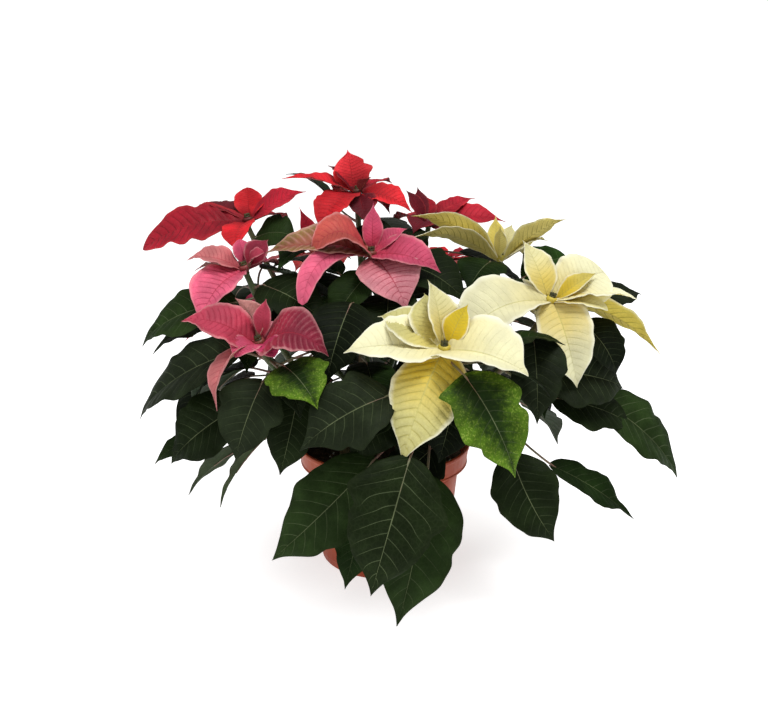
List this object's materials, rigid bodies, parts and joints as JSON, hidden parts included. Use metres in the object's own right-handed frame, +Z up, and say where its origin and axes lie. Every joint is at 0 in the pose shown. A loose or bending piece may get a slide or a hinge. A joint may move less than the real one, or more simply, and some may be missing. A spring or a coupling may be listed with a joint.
{
  "type": "poinsettia",
  "caption": "Potted poinsettia with red, pink and cream blooms over dark green leaves, in a round terracotta-coloured plastic nursery pot that stands on its foot.",
  "frame": {"origin": "centre of the pot's foot, on the surface that it stands on", "axes": "+Z up; -Y towards the viewer of the picture, the side of the cream and pink blooms; +X to that viewer's right"},
  "size_m": [0.5316, 0.466, 0.3961],
  "materials": {
    "pot": "matte moulded terracotta colour",
    "soil": "rough moist peat",
    "trunk": "matte bark",
    "leaf": "satin living leaf",
    "red": "matte velvety bract",
    "pink": "matte velvety bract",
    "cream": "matte velvety bract",
    "cyathia": "satin"
  },
  "bodies": {
    "root": {"pot": "pot", "soil": "soil", "trunk_red": "trunk", "trunk_pink": "trunk", "trunk_cream": "trunk", "stem_red_1": "leaf", "bloom_red_1": "red", "cyathia_red_1": "cyathia", "stem_red_2": "leaf", "bloom_red_2": "red", "cyathia_red_2": "cyathia", "stem_red_3": "leaf", "bloom_red_3": "red", "cyathia_red_3": "cyathia", "stem_red_4": "leaf", "bloom_red_4": "red", "cyathia_red_4": "cyathia", "stem_red_5": "leaf", "bloom_red_5": "red", "cyathia_red_5": "cyathia", "stem_pink_1": "leaf", "bloom_pink_1": "pink", "cyathia_pink_1": "cyathia", "stem_pink_2": "leaf", "bloom_pink_2": "pink", "cyathia_pink_2": "cyathia", "stem_pink_3": "leaf", "bloom_pink_3": "pink", "cyathia_pink_3": "cyathia", "stem_pink_4": "leaf", "bloom_pink_4": "pink", "cyathia_pink_4": "cyathia", "stem_cream_1": "leaf", "bloom_cream_1": "cream", "cyathia_cream_1": "cyathia", "stem_cream_2": "leaf", "bloom_cream_2": "cream", "cyathia_cream_2": "cyathia", "stem_cream_3": "leaf", "bloom_cream_3": "cream", "cyathia_cream_3": "cyathia", "stem_cream_4": "leaf", "bloom_cream_4": "cream", "cyathia_cream_4": "cyathia"}
  },
  "joints": []
}
